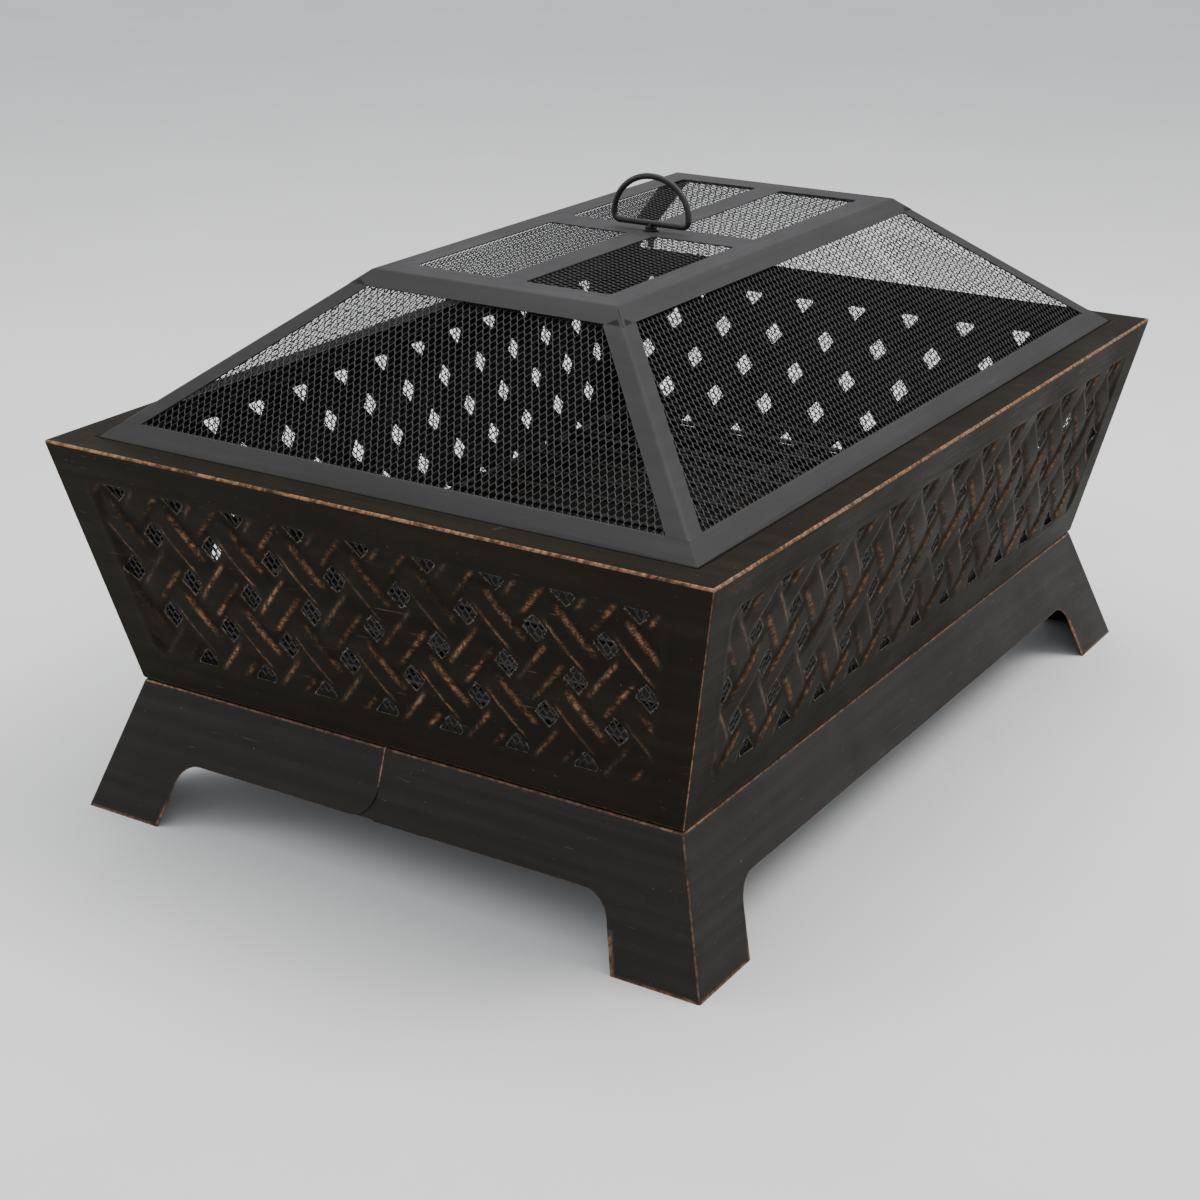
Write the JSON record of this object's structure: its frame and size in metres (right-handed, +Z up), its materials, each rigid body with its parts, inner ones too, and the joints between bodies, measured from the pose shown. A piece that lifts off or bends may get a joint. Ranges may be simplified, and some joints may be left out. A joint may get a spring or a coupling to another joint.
{
  "type": "rectangular fire pit",
  "caption": "Rectangular steel fire pit on a legged skirt, with woven vented side panels, a wire log grate and a lift-off hipped mesh spark screen with a lifting ring.",
  "frame": {"origin": "centre of the footprint on the floor, under the middle of the pit", "axes": "+X along the long side to the right seen from the front, +Y from the front to the back, +Z up; the front is the long side at -Y"},
  "size_m": [0.889, 0.635, 0.52],
  "materials": {
    "bowl_enamel": "dark bronze heat-proof paint, brushed, with copper rubbed through on edges",
    "base_enamel": "dark grey heat-proof paint with long brushed marks, copper rubbed through on edges",
    "lid_enamel": "matt charcoal heat-proof paint",
    "lid_mesh": "matt charcoal expanded metal",
    "liner_mesh": "matt black expanded metal",
    "grate_steel": "matt black paint on round wire",
    "ring_enamel": "satin charcoal paint on round rod",
    "fastener_steel": "blackened steel"
  },
  "bodies": {
    "pit": {"front_side_panel": "bowl_enamel", "back_side_panel": "bowl_enamel", "left_side_panel": "bowl_enamel", "right_side_panel": "bowl_enamel", "fire_pan": "bowl_enamel", "front_mesh_liner": "liner_mesh", "back_mesh_liner": "liner_mesh", "left_mesh_liner": "liner_mesh", "right_mesh_liner": "liner_mesh", "front_left_corner_bracket": "bowl_enamel", "front_right_corner_bracket": "bowl_enamel", "back_left_corner_bracket": "bowl_enamel", "back_right_corner_bracket": "bowl_enamel", "front_base_half": "base_enamel", "back_base_half": "base_enamel", "base_bolts": "fastener_steel", "base_nuts": "fastener_steel"},
    "lid": {"lid_front_rail": "lid_enamel", "lid_back_rail": "lid_enamel", "lid_left_rail": "lid_enamel", "lid_right_rail": "lid_enamel", "lid_front_left_hip_bar": "lid_enamel", "lid_front_right_hip_bar": "lid_enamel", "lid_back_left_hip_bar": "lid_enamel", "lid_back_right_hip_bar": "lid_enamel", "lid_front_screen": "lid_mesh", "lid_back_screen": "lid_mesh", "lid_left_screen": "lid_mesh", "lid_right_screen": "lid_mesh", "lid_cap": "lid_enamel", "lid_cap_screen": "lid_mesh", "lifting_ring": "ring_enamel", "ring_stud": "fastener_steel", "ring_collar": "fastener_steel", "ring_washer": "fastener_steel", "ring_nut": "fastener_steel"},
    "log_grate": {"grate_frame": "grate_steel", "grate_bars": "grate_steel", "grate_spine": "grate_steel", "grate_left_leg": "grate_steel", "grate_middle_leg": "grate_steel", "grate_right_leg": "grate_steel"}
  },
  "joints": [
    {"name": "lid_lift", "type": "slide", "parent": "pit", "child": "lid", "axis": [0, 0, 1], "range_m": [0, 0.5]},
    {"name": "grate_lift", "type": "slide", "parent": "pit", "child": "log_grate", "axis": [0, 0, 1], "range_m": [0, 0.25]}
  ],
  "couplings": [
    {"joint": "grate_lift", "follows": "lid_lift", "ratio": 0.5}
  ]
}
